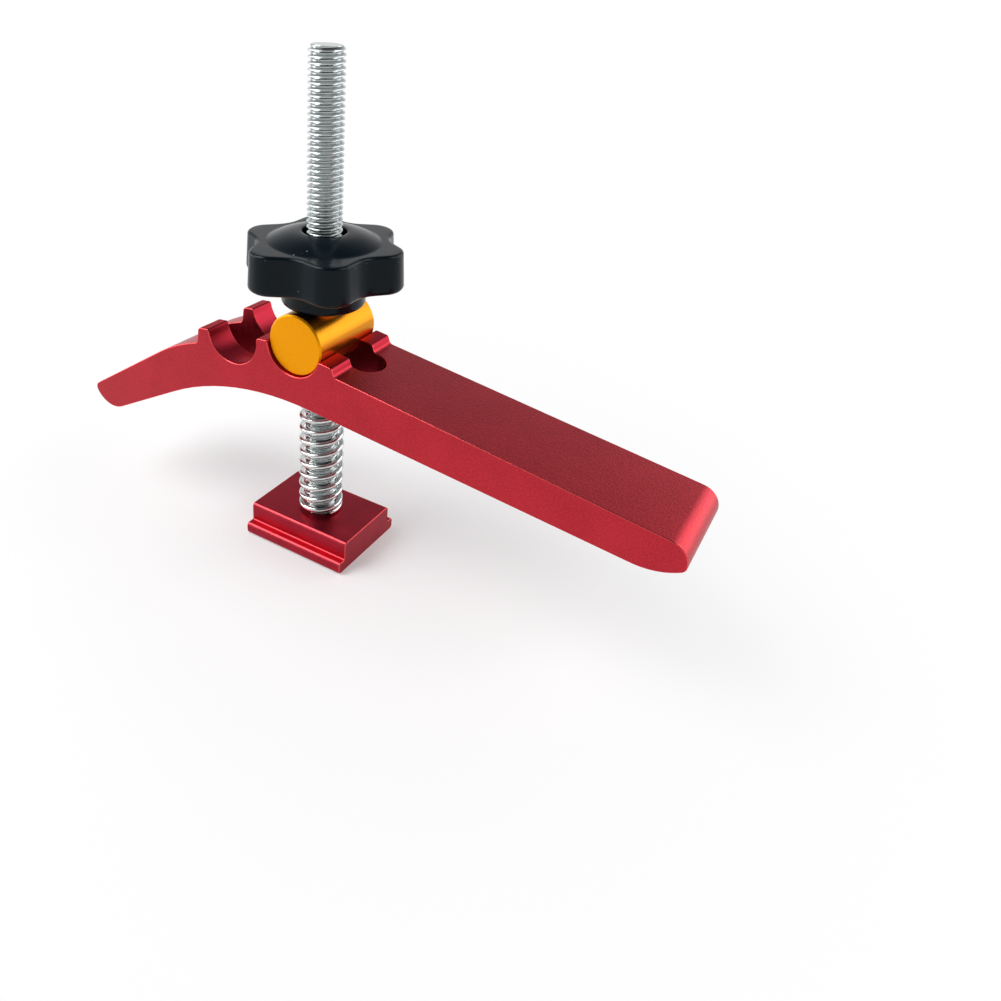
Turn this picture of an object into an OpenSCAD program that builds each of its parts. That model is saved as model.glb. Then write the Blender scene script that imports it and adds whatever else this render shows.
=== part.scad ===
// Strap clamp for a slotted track, in millimetres, standing on its slot nut.
// The origin is at the middle of the nut's underside, on the stud's axis. +Z is up the stud,
// +X runs out towards the clamp arm's long end and Y is the axis of the pivot barrel.

/* [Thread] */
// Outside diameter of the stud's thread
thread_d = 7.8; // [7:0.1:8]
// Rise of one turn
thread_pitch = 1.25; // [1:0.05:1.5]
// Depth of the thread
thread_depth = 0.7; // [0.4:0.05:0.8]
// Width of the thread's flat crest
crest_w = 0.17; // [0.1:0.01:0.2]
// Width of the thread's flat root
root_w = 0.27; // [0.1:0.01:0.3]
// Least length without thread at each end of the stud
plain_end = 0.8; // [0.3:0.1:1.5]

/* [Slot nut] */
// Length along the track
nut_l = 28.2; // [22:0.1:50]
// Width of the body that stands in the track's opening
nut_w = 18.5; // [14:0.1:22]
// Whole height
nut_h = 7.6; // [6:0.1:12]
// Width over the two flanges
flange_w = 23; // [20:0.1:30]
// Thickness of the flanges
flange_h = 3; // [2:0.1:4.5]
// Radius of the flanges' outer edges
flange_r = 0.9; // [0.2:0.1:0.9]
// Radius of the corner between body and flange
nut_fillet = 0.4; // [0.1:0.1:0.8]
// Radius along the body's top edges
nut_edge = 0.9; // [0.1:0.1:1.2]

/* [Stud] */
// Whole length
stud_l = 116.9; // [105:0.1:140]
// How far the stud's foot stays above the nut's underside
stud_lift = 0.5; // [0:0.1:2]

/* [Rest position] */
// Height of the barrel's axis above the nut's underside
pivot_h = 55.4; // [49:0.1:59]
// How far the long end hangs below level, in degrees
arm_tilt = 7; // [-5:0.1:15]

/* [Fits] */
// Radial clearance of the stud in the barrel and in the knob's insert
bore_clear = 0.06; // [0.02:0.01:0.1]
// Radial clearance of the barrel in its notch
notch_clear = 0.06; // [0.02:0.01:0.1]
// Gap between pieces that touch and move against each other
face_gap = 0.05; // [0.02:0.01:0.1]

/* [Pivot barrel] */
// Diameter
barrel_d = 14.2; // [12:0.1:15]
// Length across the arm
barrel_l = 20.8; // [16:0.1:22]
// Chamfer at its ends
barrel_chamfer = 0.35; // [0.1:0.05:0.8]

/* [Clamp arm] */
// Width of the arm
arm_w = 22.4; // [22:0.1:30]
// Reach of the long end from the barrel's axis
long_reach = 91.9; // [70:0.1:120]
// How far the long end's top face lies below the barrel's axis
top_drop = 2.6; // [2:0.1:3.5]
// Thickness that the long end has at its tip before it is rounded
tip_t = 8.5; // [7:0.1:11]
// How fast the long end grows thicker towards the barrel, in degrees
long_taper = 1.65; // [0:0.05:3]
// Height of the tip's upright stretch before it is rounded
tip_face_h = 5.1; // [4:0.1:6]
// Angle of the tip's lower side to the level, in degrees
tip_lower_angle = 36.5; // [20:0.5:60]
// Radius that sweeps from the underside up to the tip
tip_sweep_r = 16; // [5:0.5:16]
// Radius of the tip's lower corner
tip_low_r = 1.6; // [0.5:0.1:3]
// Radius of the tip's upper corner
tip_r = 4.2; // [1:0.1:5]
// Reach of the toe's nose from the barrel's axis
toe_reach = 61.7; // [56:0.1:75]
// How far the nose lies below the barrel's axis
toe_drop = 37.9; // [34:0.1:42]
// Slope of the toe's top face, in degrees
toe_top_slope = 41.1; // [38:0.1:44]
// Slope of the toe's underside, in degrees
toe_under_slope = 36; // [33:0.1:39]
// Length of the toe's end face before it is rounded
nose_face_l = 7.8; // [6:0.1:10]
// Slope of the toe's end face, in degrees back from upright
nose_lean = 39.5; // [25:0.5:45]
// Radius of the foot that the toe presses with
foot_r = 6.4; // [3:0.1:7]
// Radius of the nose's upper corner
nose_r = 1.7; // [0.4:0.1:2.6]
// Radius of the arch under the barrel, from the toe to the long end
arch_r = 71.5; // [30:0.5:75]
// Slope of the shoulder between the toe and the notches, in degrees
shoulder_slope = 26.6; // [15:0.1:33]
// Radius that leads the toe's top face into the shoulder
shoulder_r = 46; // [10:1:60]
// Radius in the corner at the foot of the right outer lip
lip_fillet = 1.1; // [0.4:0.1:1.5]
// Radius in the corner at the foot of the left outer lip
left_fillet = 1.2; // [0.4:0.1:2]
// Radius of the outer lips' upper corners
lip_r = 0.9; // [0.2:0.1:1]

/* [Notches] */
// Distance between the two notches' axes
notch_pitch = 17.5; // [15.5:0.1:20]
// How steeply the second notch lies below the first, in degrees
notch_slope = 13.4; // [8:0.1:16]
// Width of the left outer lip, from its notch's wall at the height of the notch's axis
left_lip_w = 2.9; // [1.2:0.05:3.5]
// Width of the right outer lip's top, from the barrel's notch at the height of its axis
right_lip_w = 3.6; // [2:0.1:5]
// How far the right outer lip leans out at its foot
right_lip_lean = 0.8; // [0:0.1:2]
// How far the right lip's top lies below the barrel's axis
right_lip_drop = 0.8; // [0.2:0.1:1.2]
// How far the left outer lip stands up from the shoulder at its foot
left_lip_h = 4; // [3:0.1:6]
// How far the middle lip's top lies below the barrel's axis
middle_lip_drop = 1.4; // [0.8:0.1:2]
// Radius where the notches' walls turn into the tops of the lips
mouth_r = 0.6; // [0.2:0.1:0.8]

/* [Slot in the arm] */
// Width of the slot that the stud passes
slot_w = 8.8; // [8.6:0.1:9.8]
// Reach of the slot's round end past each notch's axis
slot_reach = 17; // [13:0.1:20]

/* [Return spring] */
// Outside diameter
spring_d = 10.8; // [10.4:0.1:14]
// Diameter of the wire
wire_d = 1.2; // [0.8:0.05:1.3]
// Height of one open turn at rest
spring_pitch = 3.2; // [2.2:0.01:4]
// Turns that lie closed at each end
closed_turns = 1; // [0.75:0.25:2]
// Gap between two closed turns
closed_gap = 0.08; // [0.05:0.01:0.2]
// Where the wire's lower end lies, in degrees round from the clamp arm's long end
wire_start = -27; // [-180:1:180]

/* [Star knob] */
// Radius from the axis to the lobes' tips
lobe_reach = 18.4; // [16:0.1:24]
// Width of each lobe's blunt tip before its corners are rounded
lobe_w = 5; // [3:0.1:9]
// Radius of the tips' corners
lobe_r = 4.8; // [1.5:0.1:5.5]
// Radius from the axis to where the flanks of two lobes would meet
flank_meet = 14.5; // [12.5:0.1:15]
// Radius of the hollows between the lobes
hollow_r = 6.5; // [2:0.5:12]
// Number of lobes
lobes = 6; // [5:1:7]
// Turn of the lobes about the axis at rest, in degrees
lobe_turn = 12.1; // [0:0.1:59]
// Thickness of the star at its lobes
star_h = 8.8; // [6:0.1:12]
// Height of the hub below the star
hub_h = 5.7; // [4:0.1:9]
// Diameter of the hub
hub_d = 18.8; // [15:0.1:21]
// How much the star widens from its upper to its lower edge, on each side
star_draft = 0.4; // [0:0.05:0.6]
// Diameter at the foot of the dome on top of the star
dome_d = 25; // [20:0.1:25.5]
// Height of the dome
dome_h = 2.1; // [0.5:0.1:4]
// Diameter of the opening in the dome
mouth_d = 9.8; // [9.2:0.1:11.4]
// Radius of the dome's shoulder
dome_r = 10; // [1:0.5:14]
// Radius along the star's upper edge
star_top_edge = 0.7; // [0.3:0.1:1.2]
// Radius along the star's lower edge and the hub's
star_low_edge = 1.1; // [0.3:0.1:1.5]

/* [Knob insert] */
// Outside diameter of the threaded insert
insert_d = 12; // [11.8:0.1:13]
// Height of the threaded insert
insert_h = 12; // [8:0.1:13]

/* [Hidden] */
$fn = 96;
red = [0.68, 0.10, 0.14];
gold = [0.93, 0.62, 0.08];
zinc = [0.78, 0.79, 0.80];
black = [0.07, 0.08, 0.09];
brass = [0.80, 0.66, 0.34];
// Largest turn between two points of a rounded corner, in degrees: less on a larger radius
function arc_step(r) = r > 10 ? 3 : r > 2 ? 10 : 15;
// Length by which a cutting tool passes the face that it cuts
over = 1;
// Rings for each turn of the spring's wire, and points round the wire
coil_steps = 20;
wire_sides = 8;
// Height of a closed turn
closed_pitch = wire_d + closed_gap;

notch_r = barrel_d / 2 + notch_clear;
second_notch = [-notch_pitch * cos(notch_slope), -notch_pitch * sin(notch_slope)];
barrel_top = pivot_h + barrel_d / 2;
knob_foot = barrel_top + face_gap;

// A unit vector at an angle, and a vector brought to unit length
function toward(a) = [cos(a), sin(a)];
function unit(v) = v / norm(v);

// The point where the line through p at angle a crosses the line through q at angle b
function meet(p, a, q, b) =
    let (d = toward(a), e = toward(b), w = q - p)
    p + d * (w.x * e.y - w.y * e.x) / (d.x * e.y - d.y * e.x);

// The arc that rounds a corner at c, from run short of it on the way in, u, to run past it, v
function corner_arc(c, u, v, half, run) =
    let (
        r = run * tan(half),
        centre = c + unit(u + v) * r / sin(half),
        from = c + u * run - centre,
        to = c + v * run - centre,
        first = atan2(from.y, from.x),
        turn = atan2(from.x * to.y - from.y * to.x, from * to),
        steps = max(1, ceil(abs(turn) / arc_step(r)))
    )
    [for (i = [0 : steps]) centre + r * toward(first + turn * i / steps)];

// How much of a side between two corners their arcs may take up
arc_share = 0.999;

// A closed outline through corners [x, y, radius], each rounded by its own radius. Where two arcs
// would not both fit on the side between them, the larger gives way, down to half the side.
function rounded(corners) =
    let (
        n = len(corners),
        at = [for (c = corners) [c.x, c.y]],
        side = [for (i = [0 : n - 1]) at[(i + 1) % n] - at[i]],
        half = [for (i = [0 : n - 1]) acos(-unit(side[(i + n - 1) % n]) * unit(side[i])) / 2],
        want = [for (i = [0 : n - 1]) corners[i].z / tan(half[i])],
        room = [for (s = side) arc_share * norm(s)]
    )
    [for (i = [0 : n - 1])
        let (
            before = (i + n - 1) % n,
            run = min(want[i],
                max(room[before] / 2, room[before] - want[before]),
                max(room[i] / 2, room[i] - want[(i + 1) % n]))
        )
        each (run > 0
            ? corner_arc(at[i], -unit(side[before]), unit(side[i]), half[i], run)
            : [at[i]])];

// Side outline of the clamp arm, in the arm's own frame: x along the long end, y up, and the
// barrel's axis at the origin
tip_top = [long_reach, -top_drop];
tip_low = tip_top - [0, tip_face_h];
under_tip = [long_reach, -top_drop - tip_t];
under_angle = 180 + long_taper;
sweep_foot = meet(tip_low, 180 + tip_lower_angle, under_tip, under_angle);
nose = [-toe_reach, -toe_drop];
foot = nose + nose_face_l * toward(nose_lean - 90);
arch = meet(foot, toe_under_slope, under_tip, under_angle);
left_lip_top = second_notch - [notch_r + left_lip_w, (notch_r + left_lip_w) * tan(notch_slope)];
left_lip_foot = left_lip_top - [0, left_lip_h];
shoulder = meet(nose, toe_top_slope, left_lip_foot, shoulder_slope);
right_lip_x = notch_r + right_lip_w;

// Slope of the line along the tops of the middle and the left lip, and its height over the second
// notch's axis
lips_line = [-notch_r, -middle_lip_drop] - left_lip_top;
lips_slope = atan2(lips_line.y, lips_line.x);
lips_height = cross(second_notch - left_lip_top, unit(lips_line));

function arm_outline() = rounded([
    [tip_top.x, tip_top.y, tip_r],
    [right_lip_x + right_lip_lean, -top_drop, lip_fillet],
    [right_lip_x, -right_lip_drop, lip_r],
    [notch_r / 2, -right_lip_drop, 0],
    [-notch_r / 2, -middle_lip_drop, 0],
    [-notch_r, -middle_lip_drop, 0],
    [left_lip_top.x, left_lip_top.y, lip_r],
    [left_lip_foot.x, left_lip_foot.y, left_fillet],
    [shoulder.x, shoulder.y, shoulder_r],
    [nose.x, nose.y, nose_r],
    [foot.x, foot.y, foot_r],
    [arch.x, arch.y, arch_r],
    [sweep_foot.x, sweep_foot.y, tip_sweep_r],
    [tip_low.x, tip_low.y, tip_low_r]
]);

// The outline turned by the rest tilt, and the height of its underside over a place x
function tilted(points) = [for (p = points)
    [p.x * cos(arm_tilt) + p.y * sin(arm_tilt), p.y * cos(arm_tilt) - p.x * sin(arm_tilt)]];
function underside(points, x) = min([for (i = [0 : len(points) - 1])
    let (p = points[i], q = points[(i + 1) % len(points)])
    if ((p.x - x) * (q.x - x) <= 0 && p.x != q.x)
        p.y + (q.y - p.y) * (x - p.x) / (q.x - p.x)]);

// The spring reaches from the nut's top face to the two edges of the arm's slot
spring_seat = sqrt(max(0, pow(spring_d / 2, 2) - pow(slot_w / 2, 2)));
spring_top = pivot_h - face_gap
    + min([for (s = [-1 : 0.5 : 1]) underside(tilted(arm_outline()), s * spring_seat)]);
spring_l = spring_top - nut_h - face_gap;

module slot_nut() {
    half_w = nut_w / 2;
    half_f = flange_w / 2;
    outline = rounded([
        [half_f, 0, flange_r],
        [half_f, flange_h, flange_r],
        [half_w, flange_h, nut_fillet],
        [half_w, nut_h, nut_edge],
        [-half_w, nut_h, nut_edge],
        [-half_w, flange_h, nut_fillet],
        [-half_f, flange_h, flange_r],
        [-half_f, 0, flange_r]
    ]);
    color(red) difference() {
        rotate([90, 0, 90]) linear_extrude(height = nut_l, center = true) polygon(outline);
        translate([0, 0, -over]) cylinder(d = thread_d, h = nut_h + 2 * over);
    }
}

// The thread is drawn as one ring a turn
module stud() {
    crest_r = thread_d / 2;
    root_r = crest_r - thread_depth;
    flank_h = (thread_pitch - crest_w - root_w) / 2;
    turns = floor((stud_l - 2 * plain_end) / thread_pitch);
    first = (stud_l - turns * thread_pitch + root_w) / 2;
    rings = [for (i = [0 : turns - 1])
        let (z = first + i * thread_pitch)
        each [
            [root_r, z],
            [crest_r, z + flank_h],
            [crest_r, z + flank_h + crest_w],
            [root_r, z + 2 * flank_h + crest_w]
        ]];
    color(zinc) translate([0, 0, stud_lift]) rotate_extrude()
        polygon(concat([[0, 0], [root_r, 0]], rings, [[root_r, stud_l], [0, stud_l]]));
}

// Height of the wire's middle after a number of turns: closed ends and open turns between them
open_turns = max(1, round(2 * (spring_l - wire_d - 2 * closed_turns * closed_pitch) / spring_pitch) / 2);
open_pitch = (spring_l - wire_d - 2 * closed_turns * closed_pitch) / open_turns;
all_turns = open_turns + 2 * closed_turns;
function wire_height(t) = wire_d / 2
    + closed_pitch * min(t, closed_turns)
    + open_pitch * min(max(t - closed_turns, 0), open_turns)
    + closed_pitch * max(t - closed_turns - open_turns, 0);

module return_spring() {
    mean_r = (spring_d - wire_d) / 2;
    rings = round(all_turns * coil_steps);
    points = [for (i = [0 : rings], k = [0 : wire_sides - 1])
        let (
            t = i / rings * all_turns,
            round_wire = wire_d / 2 * toward(360 * k / wire_sides),
            reach = mean_r + round_wire.x
        )
        [reach * cos(360 * t), reach * sin(360 * t), wire_height(t) + round_wire.y]];
    sides = [for (i = [0 : rings - 1], k = [0 : wire_sides - 1])
        let (a = i * wire_sides, b = a + wire_sides, next = (k + 1) % wire_sides)
        each [[a + k, a + next, b + next], [a + k, b + next, b + k]]];
    first_end = [[for (k = [wire_sides - 1 : -1 : 0]) k]];
    last_end = [[for (k = [0 : wire_sides - 1]) rings * wire_sides + k]];
    color(zinc) translate([0, 0, nut_h + face_gap]) rotate(wire_start)
        polyhedron(points, concat(sides, first_end, last_end), convexity = 10);
}

module pivot_barrel() {
    r = barrel_d / 2;
    half_l = barrel_l / 2;
    color(gold) translate([0, 0, pivot_h]) difference() {
        rotate([90, 0, 0]) rotate_extrude() polygon([
            [0, -half_l],
            [r - barrel_chamfer, -half_l],
            [r, -half_l + barrel_chamfer],
            [r, half_l - barrel_chamfer],
            [r - barrel_chamfer, half_l],
            [0, half_l]
        ]);
        cylinder(r = thread_d / 2 + bore_clear, h = barrel_d + 2 * over, center = true);
    }
}

// What the round mouth of a notch takes off a lip. The notch's axis is at the origin, the lip's top
// lies at a height over it, and side is 1 for the right lip and -1 for the left one.
function mouth(height, side) =
    let (
        low = height - mouth_r,
        centre = [side * sqrt(pow(notch_r + mouth_r, 2) - low * low), low],
        first = atan2(-centre.y, -centre.x),
        turn = (side > 0 ? 90 : -270) - first,
        wrapped = turn - 360 * round(turn / 360),
        steps = ceil(abs(wrapped) / arc_step(mouth_r))
    )
    concat(
        [for (i = [0 : steps]) centre + mouth_r * toward(first + wrapped * i / steps)],
        [[centre.x, height + over], [centre.x - side * 2 * mouth_r, height + over]]);

module notch(at, slope, right_height, left_height) {
    translate([at.x, 0, at.y]) rotate([90, -slope, 0])
        linear_extrude(height = arm_w + 2 * over, center = true) {
            circle(r = notch_r);
            polygon(mouth(right_height, 1));
            polygon(mouth(left_height, -1));
        }
}

module arm_slot() {
    left = second_notch.x - slot_reach + slot_w / 2;
    right = slot_reach - slot_w / 2;
    deep = toe_drop + nose_face_l;
    for (x = [left, right])
        translate([x, 0, -deep]) cylinder(d = slot_w, h = deep + notch_r);
    translate([left, -slot_w / 2, -deep]) cube([right - left, slot_w, deep + notch_r]);
}

module clamp_arm() {
    color(red) translate([0, 0, pivot_h]) rotate([0, arm_tilt, 0]) difference() {
        rotate([90, 0, 0]) linear_extrude(height = arm_w, center = true) polygon(arm_outline());
        notch([0, 0], 0, -right_lip_drop, -middle_lip_drop);
        notch(second_notch, lips_slope, lips_height, lips_height);
        arm_slot();
    }
}

// Plan of the star: blunt lobes with rounded corners that run into round hollows
function star_plan() = rounded([for (i = [0 : lobes - 1])
    let (
        step = 360 / lobes,
        half = atan2(lobe_w / 2, lobe_reach),
        reach = lobe_reach / cos(half),
        lobe_at = i * step,
        meet_at = flank_meet * toward(lobe_at + step / 2)
    )
    each [
        [reach * cos(lobe_at - half), reach * sin(lobe_at - half), lobe_r],
        [reach * cos(lobe_at + half), reach * sin(lobe_at + half), lobe_r],
        [meet_at.x, meet_at.y, hollow_r]
    ]]);

// The plan drawn in by a distance, each point along the outline's own normal
function drawn_in(points, d) = [for (i = [0 : len(points) - 1])
    let (along = unit(points[(i + 1) % len(points)] - points[(i + len(points) - 1) % len(points)]))
    points[i] - d * [along.y, -along.x]];

// Levels of the moulded star from its lower to its upper edge, as [height, distance drawn in]
function star_levels() = concat(
    [for (a = [0 : 22.5 : 90]) [star_low_edge * (1 - cos(a)), star_low_edge * (1 - sin(a))]],
    [for (a = [0 : 22.5 : 90]) [star_h - star_top_edge * (1 - sin(a)),
        star_draft + star_top_edge * (1 - cos(a))]]);

module star_body() {
    plan = star_plan();
    n = len(plan);
    levels = star_levels();
    rim = [for (l = levels) each [for (p = drawn_in(plan, l.y)) [p.x, p.y, l.x]]];
    middle = len(rim);
    sides = [for (j = [0 : len(levels) - 2], i = [0 : n - 1])
        let (a = j * n, b = a + n, next = (i + 1) % n)
        each [[a + i, b + next, a + next], [a + i, b + i, b + next]]];
    low = [for (i = [0 : n - 1]) [middle, i, (i + 1) % n]];
    top = [for (i = [0 : n - 1]) [middle + 1, middle - n + (i + 1) % n, middle - n + i]];
    polyhedron(concat(rim, [[0, 0, 0], [0, 0, star_h]]), concat(sides, low, top), convexity = 10);
}

// Hub below the star and dome on top of it, both turned
module hub_and_dome() {
    top = hub_h + star_h;
    rotate_extrude() polygon(rounded([
        [0, 0, 0],
        [hub_d / 2, 0, star_low_edge],
        [hub_d / 2, hub_h + over, 0],
        [dome_d / 2, top - over, 0],
        [dome_d / 2, top, 0],
        [mouth_d / 2 + dome_h, top + dome_h, dome_r],
        [0, top + dome_h, 0]
    ]));
}

module star_knob() {
    whole = hub_h + star_h + dome_h;
    color(black) translate([0, 0, knob_foot]) rotate(lobe_turn) difference() {
        union() {
            translate([0, 0, hub_h]) star_body();
            hub_and_dome();
        }
        translate([0, 0, -over]) cylinder(d = insert_d, h = insert_h + over);
        cylinder(d = mouth_d, h = whole + over);
    }
}

module knob_insert() {
    color(brass) translate([0, 0, knob_foot]) difference() {
        cylinder(d = insert_d, h = insert_h);
        translate([0, 0, -over]) cylinder(r = thread_d / 2 + bore_clear, h = insert_h + 2 * over);
    }
}

slot_nut();
stud();
return_spring();
pivot_barrel();
clamp_arm();
star_knob();
knob_insert();
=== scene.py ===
"""The looks of a cranked strap clamp for a slotted track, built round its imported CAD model.

Everything is in metres, in the CAD model's own frame: Z up the stud, X out along the arm.
"""
import math

import bmesh
import bpy
import numpy as np
from mathutils import Matrix, Vector


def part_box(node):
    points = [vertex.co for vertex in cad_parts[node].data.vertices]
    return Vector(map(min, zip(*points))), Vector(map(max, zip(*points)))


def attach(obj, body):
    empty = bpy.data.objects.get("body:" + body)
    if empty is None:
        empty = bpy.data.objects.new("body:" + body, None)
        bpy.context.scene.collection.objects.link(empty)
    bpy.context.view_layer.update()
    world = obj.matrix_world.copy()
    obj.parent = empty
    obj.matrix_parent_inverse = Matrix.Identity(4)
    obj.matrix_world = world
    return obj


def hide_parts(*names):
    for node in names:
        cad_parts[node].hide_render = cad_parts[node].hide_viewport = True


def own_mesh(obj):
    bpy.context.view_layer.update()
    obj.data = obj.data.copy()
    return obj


bl_info = {
    "name": "Track strap clamp",
    "version": (1, 0, 0),
    "blender": (4, 5, 0),
    "location": "View3D > Sidebar > Clamp",
    "description": "Builds a cranked strap clamp with its thread, spring, knob and finishes",
    "category": "Object",
}

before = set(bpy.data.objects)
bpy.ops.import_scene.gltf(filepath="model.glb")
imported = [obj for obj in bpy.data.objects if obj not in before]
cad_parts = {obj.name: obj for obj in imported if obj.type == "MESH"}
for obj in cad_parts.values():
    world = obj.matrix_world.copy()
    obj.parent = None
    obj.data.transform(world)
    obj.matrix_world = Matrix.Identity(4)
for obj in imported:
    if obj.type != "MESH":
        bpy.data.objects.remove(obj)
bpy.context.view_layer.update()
MM = 0.001

# Sides of the round pieces, and steps along the spring's wire in one turn
ROD_SIDES = 40
WIRE_SIDES = 14
WIRE_STEPS = 56
BARREL_SIDES = 160
BORE_SIDES = 64
INSERT_SIDES = 96
# Points round the star's plan
PLAN_POINTS = 360
# Phases of a thread's turn at which a row of points lies, closest together round the crest
THREAD_PHASES = np.array([0, 0.05, 0.085, 0.16, 0.25, 0.34, 0.42, 0.5, 0.58, 0.66, 0.75, 0.84,
                          0.915, 0.95])
WHITE = (1.0, 1.0, 1.0)


# Sizes and colours

def length(label, words, value):
    """A length in metres, shown with its unit."""
    return bpy.props.FloatProperty(
        name=label, description=words, default=value, unit="LENGTH", precision=5)


def turn(label, words, degrees):
    """An angle, given in degrees."""
    return bpy.props.FloatProperty(
        name=label, description=words, default=math.radians(degrees), subtype="ANGLE")


def colour(label, words, value):
    """A linear colour without alpha."""
    return bpy.props.FloatVectorProperty(
        name=label, description=words, default=value, subtype="COLOR", size=3, min=0, max=1)


class ClampSizes(bpy.types.PropertyGroup):
    """Sizes that the looks add to the CAD model, or repeat from it."""

    slot_half: length("Slot half", "Half the slot's width, with a little over", 4.5 * MM)
    arm_edge: length("Arm edge", "Width of the fine chamfer along the arm's edges", 0.2 * MM)
    nut_edge: length("Nut edge", "Width of the fine chamfer round the nut's cut ends", 0.18 * MM)
    notch_r: length("Notch radius", "Radius of the two notches", 7.16 * MM)
    notch_pitch: length("Notch pitch", "Distance between the notches", 17.5 * MM)
    notch_slope: turn("Notch slope", "Slope of the line through the notches, as the arm hangs", 6.4)
    pivot_h: length("Pivot height", "Height of the barrel's axis", 55.4 * MM)
    thread_r: length("Thread radius", "Outside radius of the stud's thread", 3.895 * MM)
    thread_pitch: length("Thread pitch", "Rise of the thread in one turn", 1.25 * MM)
    thread_chamfer: length("Thread chamfer", "Chamfer at the stud's ends", 0.7 * MM)
    wire_r: length("Wire radius", "Radius of the spring's wire", 0.6 * MM)
    spring_r: length("Spring radius", "Outside radius of the spring", 5.4 * MM)
    closed_turn: length("Closed turn", "Rise of a closed turn at each end", 1.28 * MM)
    open_turn: length("Open turn", "Rise of an open turn at rest", 3.2 * MM)
    wire_start: turn("Wire start", "Where the wire's lower end lies, from the long end", -27)
    barrel_r: length("Barrel radius", "Radius of the pivot barrel", 7.1 * MM)
    barrel_chamfer: length("Barrel chamfer", "Chamfer at the barrel's ends", 0.35 * MM)
    bore_r: length("Bore radius", "Radius of the hole for the stud", 3.96 * MM)
    lobe_reach: length("Lobe reach", "Radius to the tips of the knob's lobes", 18.4 * MM)
    lobe_w: length("Lobe width", "Width of a lobe's blunt tip", 5.0 * MM)
    lobe_r: length("Lobe corner", "Radius of a lobe's corners", 4.8 * MM)
    flank_meet: length("Flank meeting", "Radius at which two lobes' flanks would meet", 14.5 * MM)
    hollow_r: length("Hollow radius", "Radius of the hollows between the lobes", 6.5 * MM)
    lobe_turn: turn("Lobe turn", "Turn of the knob at rest", 12.1)
    star_h: length("Star height", "Thickness of the star", 8.8 * MM)
    hub_h: length("Hub height", "Height of the hub under the star", 5.7 * MM)
    hub_r: length("Hub radius", "Radius of the hub", 9.4 * MM)
    star_draft: length("Star draft", "How much the star widens downwards", 0.4 * MM)
    dome_r: length("Dome radius", "Radius at the dome's foot", 12.5 * MM)
    dome_h: length("Dome height", "Height of the dome", 2.1 * MM)
    mouth_r: length("Mouth radius", "Radius of the opening in the dome", 4.9 * MM)
    star_top_edge: length("Star upper edge", "Radius along the star's upper edge", 0.7 * MM)
    star_low_edge: length("Star lower edge", "Radius along the star's lower edge", 1.1 * MM)
    insert_r: length("Insert radius", "Outside radius of the threaded insert", 5.99 * MM)
    insert_h: length("Insert height", "Height of the threaded insert", 12.0 * MM)


class ClampColours(bpy.types.PropertyGroup):
    """Colours of the clamp's finishes."""

    arm: colour("Arm red", "Bead-blasted red anodising", (0.47, 0.028, 0.041))
    notch: colour("Notch red", "Red anodising in the notches", (0.36, 0.020, 0.036))
    # Painted highlight: the red anodising painted lighter and paler on the chamfers, as their
    # highlight
    edge: colour("Edge red", "Bright red anodising on chamfered edges", (0.72, 0.08, 0.09))
    # Painted highlight: the nut's red painted paler on its rounded corners
    corner: colour("Corner red", "Red anodising on the nut's rounded corners", (0.38, 0.035, 0.045))
    nut: colour("Nut red", "Red anodising on the nut", (0.38, 0.016, 0.033))
    gold: colour("Barrel gold", "Gold anodising on the barrel's ends", (0.84, 0.33, 0.003))
    # Painted shade: the barrel's gold anodising again, painted darker round the barrel than on its
    # ends
    gold_side_shaded: colour("Barrel side gold", "Gold anodising round the barrel", (0.62, 0.235, 0.008))
    zinc: colour("Zinc", "Bright zinc on the stud", (0.62, 0.66, 0.66))
    wire: colour("Spring wire", "Drawn spring wire", (0.62, 0.65, 0.64))
    black: colour("Knob black", "Moulded black plastic", (0.002, 0.006, 0.009))
    dust: colour("Dust", "Specks of dust on the knob", (0.10, 0.11, 0.12))
    brass: colour("Insert brass", "Brass of the threaded insert", (0.80, 0.55, 0.24))
    floor: colour("Floor", "Plain pale floor", (0.82, 0.82, 0.82))


# Shader arithmetic

class Wire:
    """A shader output that takes part in Python arithmetic: each sum adds its Math node."""

    def __init__(self, finish, socket):
        self.finish = finish
        self.socket = socket

    def math(self, operation, other):
        """The Math node for an operation on this value and another, in that order."""
        return self.finish.node("ShaderNodeMath", {"operation": operation}, {0: self, 1: other})

    def __add__(self, other):
        return self.math("ADD", other)

    __radd__ = __add__

    def __sub__(self, other):
        return self.math("SUBTRACT", other)

    def __rsub__(self, other):
        return self.finish.node("ShaderNodeMath", {"operation": "SUBTRACT"}, {0: other, 1: self})

    def __mul__(self, other):
        return self.math("MULTIPLY", other)

    __rmul__ = __mul__

    def __pow__(self, other):
        return self.math("POWER", other)

    def sine(self):
        """The sine of this value in radians."""
        return self.finish.node("ShaderNodeMath", {"operation": "SINE"}, {0: self})

    def ramp(self, low, high):
        """0 below low, 1 above high, and a smooth rise between them."""
        return self.finish.node(
            "ShaderNodeMapRange", {"interpolation_type": "SMOOTHSTEP"},
            {"Value": self, "From Min": low, "From Max": high})


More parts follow.
